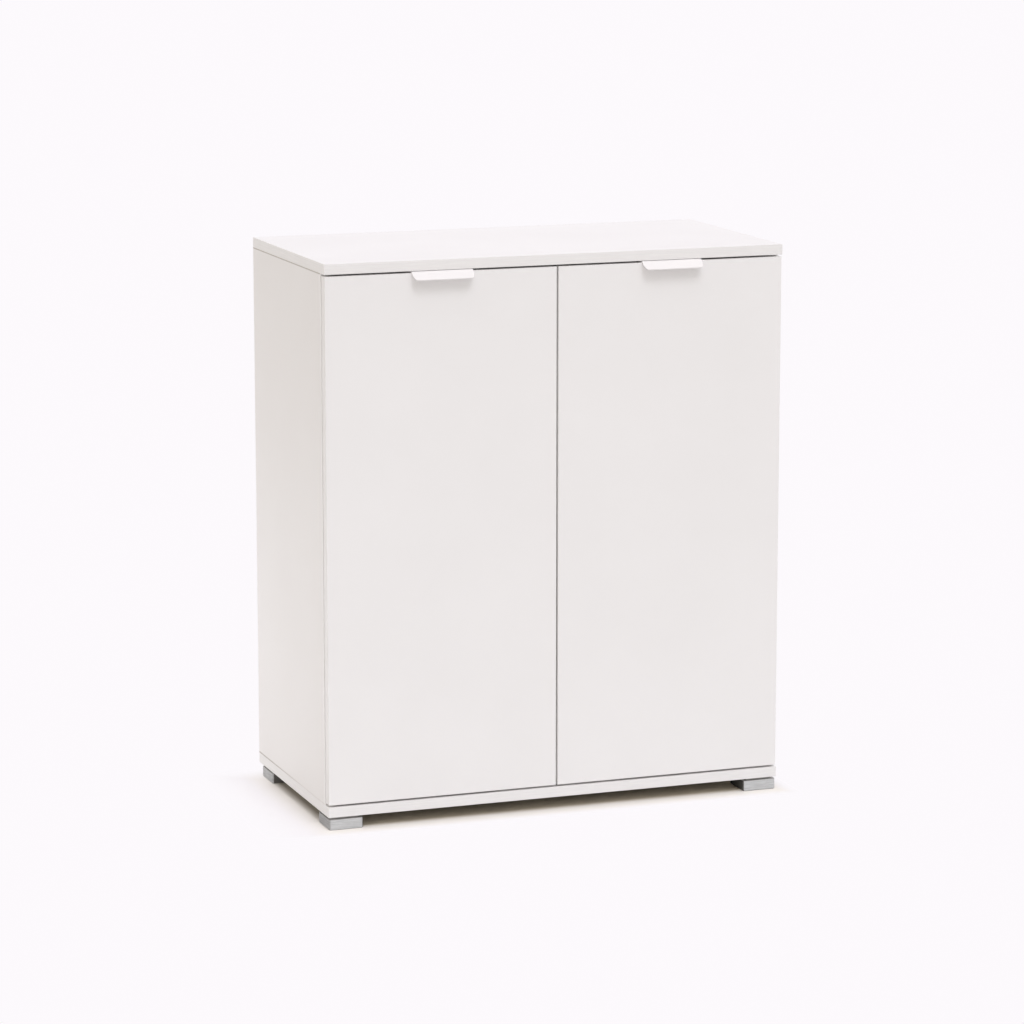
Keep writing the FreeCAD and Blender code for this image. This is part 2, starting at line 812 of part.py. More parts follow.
def hinge_cup_pins():
    """Two stub pins for the outer link's cheeks, and the pin between the lugs in the open eye."""
    round_wall = rod(hinge_point(cup_u, -cup_depth, 0), REARWARD, cup_radius, cup_depth)
    stub_length = cup_radius - lug_inner
    stub = rod(hinge_point(*outer_cup_pivot, lug_inner), UP, pivot_pin_radius, stub_length).common(round_wall)
    short_pin = rod(hinge_point(*inner_cup_pivot, -lug_outer), UP, open_pin_radius, 2 * lug_outer)
    return [stub, stub.mirror(V(0, 0, 0), UP), short_pin]


def link_bar(pivots, half_width_z):
    """A bent bar of even thickness along its pivots and bends, centred on height zero."""
    points = [hinge_point(u, v, -half_width_z) for u, v in pivots]
    return bent_strip(points, link_bend, link_half_thickness).extrude(UP * (2 * half_width_z))


def outer_link():
    """Two goose-neck cheeks round the cup's rim, joined by the rolled eye at the arm."""
    path = (outer_cup_pivot,) + outer_link_bends + (outer_arm_pivot,)
    bar = link_bar(path, cheek_outer)
    eye = rod(hinge_point(*outer_cup_pivot, -cheek_outer), UP, link_eye_radius, 2 * cheek_outer)
    slot = rod(hinge_point(*outer_cup_pivot, -cheek_inner), UP, cup_radius, 2 * cheek_inner)
    root = rod(hinge_point(*outer_arm_pivot, -cheek_outer), UP, link_root_radius, 2 * cheek_outer)
    cheeks = bar.fuse(eye).cut(slot)
    bores = [
        rod(hinge_point(*pivot, -cheek_outer - overrun), UP, pivot_pin_radius + running_play,
            2 * (cheek_outer + overrun))
        for pivot in (outer_cup_pivot, outer_arm_pivot)
    ]
    return cheeks.fuse(root).removeSplitter().cut(bores)


def inner_link():
    """The bar between the cheeks, with a wide open eye round the cup's second pin."""
    path = (inner_link_tip,) + inner_link_bends + (inner_arm_pivot,)
    bar = link_bar(path, inner_link_half_width)
    eye = rod(hinge_point(*inner_link_tip, -inner_link_half_width), UP, open_eye_radius,
              2 * inner_link_half_width)
    root = rod(hinge_point(*inner_arm_pivot, -inner_link_root_half_width), UP, link_root_radius,
               2 * inner_link_root_half_width)
    depth = 2 * (inner_link_root_half_width + overrun)
    start = -inner_link_root_half_width - overrun
    bores = [
        rod(hinge_point(*inner_link_tip, start), UP, open_pin_radius + open_eye_play, depth),
        rod(hinge_point(*inner_arm_pivot, start), UP, pivot_pin_radius + running_play, depth),
    ]
    return bar.fuse([eye, root]).removeSplitter().cut(bores)


def arm_face(shift, z):
    """The arm's side outline, moved outboard by shift."""
    points = [hinge_point(u - shift, v, z) for u, v in arm_outline]
    return Part.Face(rounded_line(points, arm_corner_round, closed=True))


def arm_outer():
    return arm_inner + arm_sheet


def hinge_arm():
    """A pressed channel, open at the nose for the links and slotted at its end for the fixing screw."""
    solid = arm_face(0, -arm_outer()).extrude(UP * (2 * arm_outer()))
    nose_start = hinge_point(0, -cup_depth, 0)
    nose_end = hinge_point(max(u for u, v in arm_outline) + overrun, arm_web_start_v, 0)
    nose = block(nose_start.x, nose_end.x, nose_start.y, nose_end.y, -arm_inner, arm_inner)
    channel = arm_face(arm_sheet, -arm_inner).extrude(UP * (2 * arm_inner))
    start = hinge_point(0, arm_web_start_v, 0)
    end = hinge_point(arm_web_u - arm_sheet, arm_end_v + overrun, 0)
    below = block(start.x, end.x, start.y, end.y, -arm_inner, arm_inner)
    cuts = [nose, channel, below]
    for pivot in (outer_arm_pivot, inner_arm_pivot):
        cuts.append(rod(hinge_point(*pivot, -arm_outer() - overrun), UP, pivot_pin_radius,
                        2 * (arm_outer() + overrun)))
    hole_radius = arm_screw_radius + fit_play
    depth = LEFT * (arm_sheet + 2 * overrun)
    outside = arm_web_u + overrun
    cuts.append(rod(hinge_point(outside, adjust_screw_v, 0), LEFT, hole_radius, depth.Length))
    cuts.append(lobed_plate(hinge_point(outside, arm_screw_v, 0), hole_radius,
                            hinge_point(outside, arm_end_v + overrun, 0), hole_radius, depth))
    return solid.cut(cuts)


def hinge_arm_pins():
    """Riveted pins across the arm's cheeks."""
    half = turned_outline((
        (0, arm_outer() + pin_head_height),
        (pin_head_radius, arm_outer()),
        (pivot_pin_radius, arm_outer()),
        (pivot_pin_radius, 0),
        (0, 0),
    ), crowned=True)
    solid = half.fuse(half.mirror(V(0, 0, 0), UP)).removeSplitter()
    return [solid.translated(hinge_point(*pivot, 0)) for pivot in (outer_arm_pivot, inner_arm_pivot)]


def hinge_arm_screws():
    """The fixing screw and the side adjusting screw, from the web into the saddle."""
    head_u = arm_web_u + arm_screw_head_height
    return [
        pan_screw(arm_screw_head_radius, arm_screw_head_height, arm_screw_radius, arm_screw_length,
                  hinge_point(head_u, v, 0), LEFT)
        for v in (arm_screw_v, adjust_screw_v)
    ]


def plate_screw_places():
    v = door_rest_gap + plate_screw_inset
    return [(v, -plate_screw_spacing / 2), (v, plate_screw_spacing / 2)]


def hinge_plate():
    """A cross-shaped base on the side panel with the saddle that fills the arm's channel."""
    side_u = side_inner_x - door_outer_x
    low = hinge_point(side_u, plate_start_v, 0)
    high_x = low.x + plate_thickness
    body = block(low.x, high_x, low.y, low.y + plate_length, -plate_half_width, plate_half_width)
    wing_y = door_back_y + door_rest_gap + plate_screw_inset
    wings = block(low.x, high_x, wing_y - plate_wing_half_width, wing_y + plate_wing_half_width,
                  -plate_wing_half_length, plate_wing_half_length)
    wings = wings.makeFillet(plate_corner_round, edges_along(wings, RIGHT))
    saddle_low = hinge_point(side_u, saddle_start_v, 0)
    saddle_high = hinge_point(arm_web_u - arm_sheet, 0, 0)
    half = arm_inner - saddle_side_play
    saddle = block(saddle_low.x, saddle_high.x, saddle_low.y, saddle_low.y + saddle_length, -half, half)
    saddle = saddle.makeFillet(saddle_round, edges_along(saddle, RIGHT))
    hole_radius = plate_screw_radius + fit_play
    travel = UP * plate_slot_half_travel
    cuts = []
    for v, z in plate_screw_places():
        outside = hinge_point(side_u + plate_thickness + overrun, v, z)
        cuts.append(lobed_plate(outside - travel, hole_radius, outside + travel, hole_radius,
                                LEFT * (plate_thickness + 2 * overrun)))
    for v in (arm_screw_v, adjust_screw_v):
        cuts.append(rod(hinge_point(arm_web_u + overrun, v, 0), LEFT, arm_screw_radius + fit_play,
                        arm_screw_length + overrun))
    return body.fuse([wings, saddle]).removeSplitter().cut(cuts)


def hinge_plate_screws():
    side_u = side_inner_x - door_outer_x
    head_u = side_u + plate_thickness + plate_screw_head_height
    return [
        pan_screw(plate_screw_head_radius, plate_screw_head_height, plate_screw_radius,
                  plate_screw_length, hinge_point(head_u, v, z), LEFT)
        for v, z in plate_screw_places()
    ]


# Nodes

def save(name, shape):
    shape.exportStep("parts/" + name + ".step")


def save_pair(name, left_shape):
    """A piece of the left door or side, and its mirror image on the right."""
    save("left_" + name, left_shape)
    save("right_" + name, mirrored(left_shape))


def at_hinges(pieces):
    """Every hinge piece of one side, at both heights."""
    return [copy for piece in pieces for copy in raised(piece, hinge_heights)]


def both_sides(pieces):
    return group(pieces + [mirrored(piece) for piece in pieces])


def build_box():
    save("top_panel", top_panel())
    save("top_edge_bands", end_panel_bands(top_low_z))
    save("base_panel", base_panel())
    save("base_edge_bands", end_panel_bands(base_low_z))
    save_pair("side_panel", left_side_panel())
    save("side_edge_bands", side_bands())
    save("back_panel_left", back_panel_left())
    save("back_panel_right", mirrored(back_panel_left()))
    save("back_joining_strip", back_joining_strip())
    save("lower_shelf", shelf(lower_shelf_pitch_count))
    save("upper_shelf", shelf(upper_shelf_pitch_count))
    save("shelf_edge_bands", shelf_bands())
    save("shelf_pegs", shelf_pegs())
    save("cam_locks", joints_of(cam_lock, cam_rows))
    save("cam_bolts", joints_of(cam_bolt, cam_rows))
    save("wood_dowels", joints_of(dowel, dowel_rows))


def build_feet():
    names = ("foot_front_left", "foot_front_right", "foot_rear_left", "foot_rear_right")
    for name, corner in zip(names, foot_corners()):
        save(name, foot(*corner))
    save("foot_screws", foot_screws())


def build_hinges():
    for level, height in zip(("lower", "upper"), hinge_heights):
        for name, piece in (("hinge_plate", hinge_plate()), ("hinge_arm", hinge_arm()),
                            ("hinge_cup", hinge_cup())):
            save_pair(level + "_" + name, piece.translated(UP * height))
    save("hinge_plate_screws", both_sides(at_hinges(hinge_plate_screws())))
    save("hinge_arm_pins", both_sides(at_hinges(hinge_arm_pins())))
    save("hinge_arm_screws", both_sides(at_hinges(hinge_arm_screws())))
    save_pair("cup_screws", group(at_hinges(hinge_cup_screws())))
    save_pair("cup_pins", group(at_hinges(hinge_cup_pins())))
    save_pair("outer_links", group(at_hinges([outer_link()])))
    save_pair("inner_links", group(at_hinges([inner_link()])))


def build_doors():
    save_pair("door_panel", left_door_panel())
    save_pair("door_edge_bands", left_door_bands())
    save_pair("door_bumpers", left_bumpers())
    save_pair("handle", left_handle())
    save_pair("handle_screws", left_handle_screws())


os.makedirs("parts", exist_ok=True)
build_box()
build_feet()
build_hinges()
build_doors()
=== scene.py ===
import math

import bpy
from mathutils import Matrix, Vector


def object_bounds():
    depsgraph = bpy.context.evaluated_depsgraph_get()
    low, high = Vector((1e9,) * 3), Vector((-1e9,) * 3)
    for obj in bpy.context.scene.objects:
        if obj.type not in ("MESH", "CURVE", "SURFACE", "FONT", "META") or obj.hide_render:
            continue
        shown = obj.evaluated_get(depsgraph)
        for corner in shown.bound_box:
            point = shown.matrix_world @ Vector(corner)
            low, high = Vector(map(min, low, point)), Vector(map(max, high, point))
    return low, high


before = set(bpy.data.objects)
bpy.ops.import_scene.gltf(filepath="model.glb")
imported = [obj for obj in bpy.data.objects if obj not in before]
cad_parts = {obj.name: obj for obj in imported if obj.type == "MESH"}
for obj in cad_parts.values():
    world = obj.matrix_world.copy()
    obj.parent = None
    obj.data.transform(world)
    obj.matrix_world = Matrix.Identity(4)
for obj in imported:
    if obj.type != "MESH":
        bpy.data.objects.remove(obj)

# Dressing of a free-standing base cabinet with two doors. Lengths are metres.

cad_box = [list(corner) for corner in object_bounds()]

mm = 0.001

# Camera: where the photograph was taken from
camera_place = Vector((-2.09326, -5.69578, 1.57813))
camera_turn = math.radians(20.10)
camera_tilt = math.radians(10.645)
camera_lens_mm = 138.16
camera_sensor_mm = 36.0

# Floor as the eye sees it: painted warm shade close by, painted shadow under the cabinet and along its
# left side
floor_half_width = 60.0
floor_colour = (0.875, 0.852, 0.875, 1.0)
floor_near_painted_shade = (0.905, 0.865, 0.82, 1.0)
floor_near_reach = 35 * mm
floor_under_painted_shadow = (0.78, 0.69, 0.54, 1.0)
floor_left_painted_shadow = (0.40, 0.36, 0.30, 1.0)
under_edge_start = 16 * mm
under_edge_end = 34 * mm
left_edge_start = 2 * mm
left_edge_end = 16 * mm
left_strip_width = 35 * mm
left_strip_end = 50 * mm

# Where the floor gives way to the plain backdrop: from a lead within the footprint to a reach beyond it
backdrop_colour = (0.978, 0.951, 0.978, 1.0)
floor_left_lead = 20 * mm
floor_left_reach = 100 * mm
floor_front_lead = 10 * mm
floor_front_reach = 25 * mm
floor_right_reach = 30 * mm
floor_rear_lead = 60 * mm
floor_rear_reach = 30 * mm

# Floor as it lights the cabinet and as bright metal mirrors it
bounce_front_colour = (0.80, 0.795, 0.80, 1.0)
bounce_left_colour = (0.93, 0.92, 0.935, 1.0)
bounce_far_colour = (0.74, 0.725, 0.715, 1.0)
bounce_under_colour = (0.10, 0.085, 0.06, 1.0)
bounce_fade_reach = 2.2
bounce_turn = 50 * mm
mirrored_left_colour = (0.40, 0.385, 0.38, 1.0)
mirrored_rear_colour = (0.72, 0.71, 0.71, 1.0)
mirrored_turn_start = -100 * mm
mirrored_turn_end = 30 * mm

# Sky: its colours from the horizon up, where they meet, and a tint from the left
sky_horizon_colour = (0.58, 0.58, 0.56, 1.0)
sky_low_colour = (1.235, 1.235, 1.20, 1.0)
sky_high_colour = (1.14, 1.13, 1.17, 1.0)
sky_left_tint = (1.0, 0.91, 0.775, 1.0)
sky_horizon_rise = 0.02
sky_low_rise = 0.28
sky_strength = 0.650

# Lamps
main_direction = Vector((-0.01, -0.56, 0.83))
main_spread = math.radians(24.0)
main_strength = 0.235
overhead_direction = Vector((-0.05, -0.42, 0.90))
overhead_spread = math.radians(56.0)
overhead_strength = 0.135
lamp_colour = (0.985, 0.982, 1.03)
side_panel_place = Vector((-0.95, 0.42, 0.20))
side_panel_aim = Vector((-0.37, 0.12, 0.16))
side_panel_width = 0.4
side_panel_power = 0.70
side_panel_colour = (0.91, 0.98, 1.10)

# Coated boards: pressed pores under the coat, chips at cut edges and in bores
melamine_white = (0.868, 0.850, 0.845, 1.0)
melamine_shade = (0.850, 0.832, 0.825, 1.0)
# Sides painted darker, doors and top painted lighter than the white of the base and shelves: painted shade
# and light
side_white_painted_darker = (0.860, 0.838, 0.828, 1.0)
side_shade_painted_darker = (0.845, 0.821, 0.810, 1.0)
door_white_painted_lighter = (0.888, 0.871, 0.870, 1.0)
door_shade_painted_lighter = (0.872, 0.855, 0.853, 1.0)
top_white_painted_lighter = (0.880, 0.860, 0.872, 1.0)
top_shade_painted_lighter = (0.860, 0.838, 0.850, 1.0)
board_pore = 0.7 * mm
board_patch = 180 * mm
board_relief = 0.12 * mm
board_rough = (0.36, 0.44)
coat_relief_share = 0.12
face_lean = 0.9
chip_dark = (0.30, 0.19, 0.095, 1.0)
chip_light = (0.66, 0.50, 0.31, 1.0)
chip_size = 2.2 * mm
chip_rough = 0.85
chip_tone_share = 0.7
chip_wander_share = 0.35
chip_hollow_reach = 0.8

# Painted shade along the seams of the side panels, fainter at the base towards the front
seam_painted_shade = (0.33, 0.29, 0.25, 1.0)
top_seam_width = 2.0 * mm
base_seam_width = 3.0 * mm
base_seam_front = -60.0 * mm
base_seam_rear = 120.0 * mm
base_seam_front_share = 0.2

# Edge bands: painted lighter where they look into the narrow gaps round the doors, as painted light in the
# gaps
band_white = (0.880, 0.862, 0.855, 1.0)
band_shade = (0.830, 0.815, 0.810, 1.0)
gap_painted_light = (0.975, 0.965, 0.955, 1.0)
band_lean = 0.5
door_gap_reach = 100 * mm
side_gap_strip = 1.5 * mm
band_grain_length = 60 * mm
band_grain_width = 2.2 * mm
band_relief = 0.02 * mm
band_rough = (0.44, 0.36)

# Thin back board and the strip that joins its halves
fibre_brown = (0.33, 0.215, 0.125, 1.0)
fibre_pale = (0.42, 0.285, 0.17, 1.0)
fibre_pore = 1.4 * mm
fibre_patch = 60 * mm
fibre_relief = 0.08 * mm
fibre_relief_share = 0.6
fibre_rough = (0.8, 0.42)
strip_white = (0.80, 0.79, 0.775, 1.0)
strip_shade_share = 0.95
strip_pore = 0.9 * mm
strip_patch = 50 * mm
strip_relief = 0.03 * mm
strip_rough = (0.4, 0.5)

# Feet: lacquered outside; neck, sole and inner faces painted dark as painted shade
foot_silver = (0.72, 0.728, 0.725, 1.0)
foot_silver_shade = (0.50, 0.505, 0.502, 1.0)
foot_neck_painted_shade = (0.40, 0.39, 0.38, 1.0)
foot_inner_painted_shade = (0.13, 0.125, 0.115, 1.0)
foot_body_top = 16.4 * mm
foot_sole_shade_height = 1.0 * mm
foot_inner_lean = 80 * mm
foot_metallic = 0.8
foot_brush_length = 26 * mm
foot_brush_width = 1.3 * mm
foot_relief = 0.015 * mm
foot_rough = (0.42, 0.30)

# Painted pulls
paint_white = (0.885, 0.860, 0.865, 1.0)
paint_shade_share = 0.98
paint_pore = 0.9 * mm
paint_patch = 40 * mm
paint_relief = 0.02 * mm
paint_rough = (0.30, 0.38)

# Hinges and small fittings
nickel = (0.70, 0.675, 0.63, 1.0)
nickel_shade = (0.60, 0.575, 0.53, 1.0)
nickel_rough = (0.20, 0.32)
zinc = (0.66, 0.67, 0.68, 1.0)
zinc_shade = (0.50, 0.51, 0.53, 1.0)
zinc_rough = (0.28, 0.42)
plate_pore = 0.6 * mm
plate_patch = 9 * mm
plate_roll_length = 14 * mm
plate_roll_width = 0.35 * mm
plate_relief = 0.008 * mm
beech_light = (0.62, 0.44, 0.27, 1.0)
beech_dark = (0.46, 0.30, 0.165, 1.0)
beech_grain_length = 9 * mm
beech_grain_width = 0.6 * mm
beech_relief = 0.05 * mm
beech_rough = (0.75, 0.60)
bumper_clear = (0.83, 0.83, 0.81, 1.0)
bumper_shade_share = 0.93
bumper_pore = 0.8 * mm
bumper_patch = 3 * mm
bumper_relief = 0.02 * mm
bumper_rough = (0.25, 0.40)
bumper_transmission = 0.35

# What part of a noise's range is stretched over 0..1
pore_contrast = (0.35, 0.65)
patch_contrast = (0.3, 0.7)
streak_contrast = (0.32, 0.68)

# Places of the coordinates in a vector
ALONG_X, ALONG_Y, ALONG_Z = 0, 1, 2

# Places of the Mix node's sockets, because its socket names repeat
MIX_SHARE = 0
MIX_NUMBERS = (2, 3)
MIX_COLOURS = (6, 7)
MIXED_NUMBER = 0
MIXED_COLOUR = 2


# Node helpers

def add(tree, kind, inputs=(), **settings):
    """A shader node with its settings, and its inputs set or linked by name or place."""
    node = tree.nodes.new(kind)
    for name, value in settings.items():
        setattr(node, name, value)
    for name, value in dict(inputs).items():
        if isinstance(value, bpy.types.NodeSocket):
            tree.links.new(value, node.inputs[name])
        else:
            node.inputs[name].default_value = value
    return node


def arithmetic(tree, operation, first, second=0.0):
    return add(tree, "ShaderNodeMath", {0: first, 1: second}, operation=operation).outputs[0]


def span(tree, value, low, high, to_low=0.0, to_high=1.0):
    """Maps low..high of a value to another range, held at both ends."""
    names = {"Value": value, "From Min": low, "From Max": high, "To Min": to_low, "To Max": to_high}
    return add(tree, "ShaderNodeMapRange", names).outputs["Result"]


def smooth_span(tree, value):
    """Eases 0..1 at both ends, so that a fade shows no border."""
    node = add(tree, "ShaderNodeMapRange", {"Value": value}, interpolation_type="SMOOTHSTEP")
    return node.outputs["Result"]


def blend_colours(tree, share, first, second, way="MIX"):
    inputs = {MIX_SHARE: share, MIX_COLOURS[0]: first, MIX_COLOURS[1]: second}
    return add(tree, "ShaderNodeMix", inputs, data_type="RGBA", blend_type=way).outputs[MIXED_COLOUR]


def blend_numbers(tree, share, first, second):
    inputs = {MIX_SHARE: share, MIX_NUMBERS[0]: first, MIX_NUMBERS[1]: second}
    return add(tree, "ShaderNodeMix", inputs).outputs[MIXED_NUMBER]


def part_of(tree, vector, axis):
    return add(tree, "ShaderNodeSeparateXYZ", {"Vector": vector}).outputs[axis]


def off_middle(tree, coords):
    """Distance from the middle of the cabinet's width."""
    return arithmetic(tree, "ABSOLUTE", part_of(tree, coords["Object"], ALONG_X))


def start_group(name, inputs, outputs):
    """An empty node group with named float, vector or colour sockets."""
    tree = bpy.data.node_groups.new(name, "ShaderNodeTree")
    for label, kind in inputs:
        tree.interface.new_socket(name=label, in_out="INPUT", socket_type="NodeSocket" + kind)
    for label, kind in outputs:
        tree.interface.new_socket(name=label, in_out="OUTPUT", socket_type="NodeSocket" + kind)
    return tree, tree.nodes.new("NodeGroupInput").outputs, tree.nodes.new("NodeGroupOutput").inputs


def use(tree, group, **values):
    """Places a node group with its values set or linked."""
    return add(tree, "ShaderNodeGroup", values, node_tree=group).outputs


def new_material(name):
    """A fresh material, its tree and shader, and the surface's own coordinates, moving with the piece."""
    material = bpy.data.materials.new(name)
    material.use_nodes = True
    tree = material.node_tree
    return material, tree, tree.nodes["Principled BSDF"], tree.nodes.new("ShaderNodeTexCoord").outputs


def finish_with(tree, shader, links, **values):
    """Links varying sockets of the shader and sets its constant ones."""
    for name, socket in links.items():
        tree.links.new(socket, shader.inputs[name])
    for name, value in values.items():
        shader.inputs[name.replace("_", " ")].default_value = value


def relief(tree, height, depth, strength=1.0):
    """A bump of a real depth in metres from a 0..1 height."""
    inputs = {"Height": height, "Distance": depth, "Strength": strength}
    return add(tree, "ShaderNodeBump", inputs).outputs["Normal"]


def shaded(colour, share):
    """A colour at a share of its brightness."""
    return tuple(share * value for value in colour[:3]) + (1.0,)


# Shared effects

def make_pores():
    """Fine closed pores of a pressed surface and a slow drift of its tone."""
    tree, given, made = start_group(
        "pressed pores",
        [("Place", "Vector"), ("Pore", "Float"), ("Patch", "Float")],
        [("Height", "Float"), ("Drift", "Float")])
    fine = arithmetic(tree, "DIVIDE", 1.0, given["Pore"])
    slow = arithmetic(tree, "DIVIDE", 1.0, given["Patch"])
    pores = add(tree, "ShaderNodeTexNoise",
                {"Vector": given["Place"], "Scale": fine, "Detail": 3.0, "Roughness": 0.55})
    patches = add(tree, "ShaderNodeTexNoise",
                  {"Vector": given["Place"], "Scale": slow, "Detail": 2.0, "Roughness": 0.5})
    tree.links.new(span(tree, pores.outputs["Fac"], *pore_contrast), made["Height"])
    tree.links.new(span(tree, patches.outputs["Fac"], *patch_contrast), made["Drift"])
    return tree


def make_streaks():
    """Long thin streaks, such as brushing or a drawn strip's grain."""
    tree, given, made = start_group(
        "drawn streaks",
        [("Along", "Float"), ("Across", "Float"), ("Length", "Float"), ("Width", "Float")],
        [("Streak", "Float")])
    along = arithmetic(tree, "DIVIDE", given["Along"], given["Length"])
    across = arithmetic(tree, "DIVIDE", given["Across"], given["Width"])
    place = add(tree, "ShaderNodeCombineXYZ", {"X": along, "Y": across}).outputs[0]
    noise = add(tree, "ShaderNodeTexNoise",
                {"Vector": place, "Scale": 1.0, "Detail": 4.0, "Roughness": 0.6})
    tree.links.new(span(tree, noise.outputs["Fac"], *streak_contrast), made["Streak"])
    return tree


def make_chips():
    """Cut chipboard: flat chips, each of its own tone, with hollows between them."""
    tree, given, made = start_group(
        "chipboard edge",
        [("Place", "Vector"), ("Chip", "Float")],
        [("Color", "Color"), ("Height", "Float")])
    scale = arithmetic(tree, "DIVIDE", 1.0, given["Chip"])
    wander = add(tree, "ShaderNodeTexNoise", {"Vector": given["Place"], "Scale": scale, "Detail": 2.0})
    chips = add(tree, "ShaderNodeTexVoronoi",
                {"Vector": given["Place"], "Scale": scale, "Randomness": 1.0}, feature="F1")
    tone = add(tree, "ShaderNodeSeparateColor", {"Color": chips.outputs["Color"]}).outputs[0]
    shade = arithmetic(tree, "ADD", arithmetic(tree, "MULTIPLY", tone, chip_tone_share),
                       arithmetic(tree, "MULTIPLY", wander.outputs["Fac"], chip_wander_share))
    tree.links.new(blend_colours(tree, shade, chip_dark, chip_light), made["Color"])
    tree.links.new(span(tree, chips.outputs["Distance"], 0.0, chip_hollow_reach, 1.0, 0.0), made["Height"])
    return tree


pores = make_pores()
streaks = make_streaks()
chips = make_chips()


# Masks: one on the places that they name, zero elsewhere

def on_faces(tree, coords, axis):
    """The two coated faces of a board, not its cut edges and bores."""
    lean = arithmetic(tree, "ABSOLUTE", part_of(tree, coords["Normal"], axis))
    return arithmetic(tree, "GREATER_THAN", lean, face_lean)


def near_seams(tree, coords):
    """The seams where the side panels meet the base and the top, where shade is painted."""
    heights = [corner[ALONG_Z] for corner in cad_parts["left_side_panel"].bound_box]
    height = part_of(tree, coords["Object"], ALONG_Z)
    depth = part_of(tree, coords["Object"], ALONG_Y)
    from_base = arithmetic(tree, "SUBTRACT", height, min(heights))
    from_top = arithmetic(tree, "SUBTRACT", max(heights), height)
    at_base = arithmetic(tree, "MULTIPLY", span(tree, from_base, 0.0, base_seam_width, 1.0, 0.0),
                         span(tree, depth, base_seam_front, base_seam_rear, base_seam_front_share, 1.0))
    return arithmetic(tree, "MAXIMUM", at_base, span(tree, from_top, 0.0, top_seam_width, 1.0, 0.0))


def faces_door_gap(tree, coords):
    """The door bands that look into the gap under the top or the gap between the doors, where light is
    painted.
    """
    upward = arithmetic(tree, "GREATER_THAN", part_of(tree, coords["Normal"], ALONG_Z), band_lean)
    forward = arithmetic(tree, "ABSOLUTE", part_of(tree, coords["Normal"], ALONG_Y))
    sideways = arithmetic(tree, "GREATER_THAN", band_lean, forward)
    at_middle = arithmetic(tree, "LESS_THAN", off_middle(tree, coords), door_gap_reach)
    return arithmetic(tree, "MAXIMUM", upward, arithmetic(tree, "MULTIPLY", sideways, at_middle))


def faces_side_gap(tree, coords):
    """The outer edge of the side bands, behind the doors, where light is painted."""
    return arithmetic(tree, "GREATER_THAN", off_middle(tree, coords), cad_box[1][ALONG_X] - side_gap_strip)


def looks_inward(tree, coords):
    """A foot's faces that look in under the cabinet, which get painted shade."""
    outward = add(tree, "ShaderNodeVectorMath", {0: coords["Object"], 1: coords["Normal"]},
                  operation="MULTIPLY").outputs[0]
    reach = arithmetic(tree, "ADD", part_of(tree, outward, ALONG_X), part_of(tree, outward, ALONG_Y))
    return arithmetic(tree, "LESS_THAN", reach, -foot_inner_lean)


# Materials

def melamine_board(name, axis, white, shade, seams=False):
    """Coated chipboard: white on its faces, bare chips on cut edges and in bores, painted shade along
    seams.
    """
    material, tree, shader, coords = new_material(name)
    surface = use(tree, pores, Place=coords["Object"], Pore=board_pore, Patch=board_patch)
    core = use(tree, chips, Place=coords["Object"], Chip=chip_size)
    faces = on_faces(tree, coords, axis)
    coat = blend_colours(tree, surface["Drift"], shade, white)
    if seams:
        # Painted shade along the seams
        coat = blend_colours(tree, near_seams(tree, coords), coat, seam_painted_shade)
    coat_rough = span(tree, surface["Height"], 0.0, 1.0, *board_rough)
    core_rough = span(tree, faces, 0.0, 1.0, chip_rough, 0.0)
    coat_height = arithmetic(tree, "MULTIPLY", surface["Height"], coat_relief_share)
    finish_with(tree, shader, {
        "Base Color": blend_colours(tree, faces, core["Color"], coat),
        "Roughness": arithmetic(tree, "MAXIMUM", coat_rough, core_rough),
        "Normal": relief(tree, blend_numbers(tree, faces, core["Height"], coat_height), board_relief),
    })
    return material


def edge_band(name, along, across, painted_lighter_where=None):
    """Plastic edge strip with a faint drawn grain along it; where given, the places that look into a gap
    are painted lighter, as painted light.
    """
    material, tree, shader, coords = new_material(name)
    run = arithmetic(tree, "ADD", *(part_of(tree, coords["Object"], axis) for axis in along))
    grain = use(tree, streaks, Along=run, Across=part_of(tree, coords["Object"], across),
                Length=band_grain_length, Width=band_grain_width)
    coat = blend_colours(tree, grain["Streak"], band_shade, band_white)
    if painted_lighter_where:
        coat = blend_colours(tree, painted_lighter_where(tree, coords), coat, gap_painted_light)
    finish_with(tree, shader, {
        "Base Color": coat,
        "Roughness": span(tree, grain["Streak"], 0.0, 1.0, *band_rough),
        "Normal": relief(tree, grain["Streak"], band_relief),
    })
    return material


def fibre_back():
    """Thin fibreboard: lacquered white inside, bare and finely felted behind."""
    material, tree, shader, coords = new_material("fibre_back")
    felt = use(tree, pores, Place=coords["Object"], Pore=fibre_pore, Patch=fibre_patch)
    inside = arithmetic(tree, "LESS_THAN", part_of(tree, coords["Normal"], ALONG_Y), -face_lean)
    brown = blend_colours(tree, felt["Height"], fibre_brown, fibre_pale)
    finish_with(tree, shader, {
        "Base Color": blend_colours(tree, inside, brown, strip_white),
        "Roughness": span(tree, inside, 0.0, 1.0, *fibre_rough),
        "Normal": relief(tree, felt["Height"], fibre_relief, fibre_relief_share),
    })
    return material


def joining_strip():
    """Drawn white plastic with a soft sheen."""
    material, tree, shader, coords = new_material("joining_strip")
    surface = use(tree, pores, Place=coords["Object"], Pore=strip_pore, Patch=strip_patch)
    duller = shaded(strip_white, strip_shade_share)
    finish_with(tree, shader, {
        "Base Color": blend_colours(tree, surface["Drift"], duller, strip_white),
        "Roughness": span(tree, surface["Height"], 0.0, 1.0, *strip_rough),
        "Normal": relief(tree, surface["Height"], strip_relief),
    })
    return material


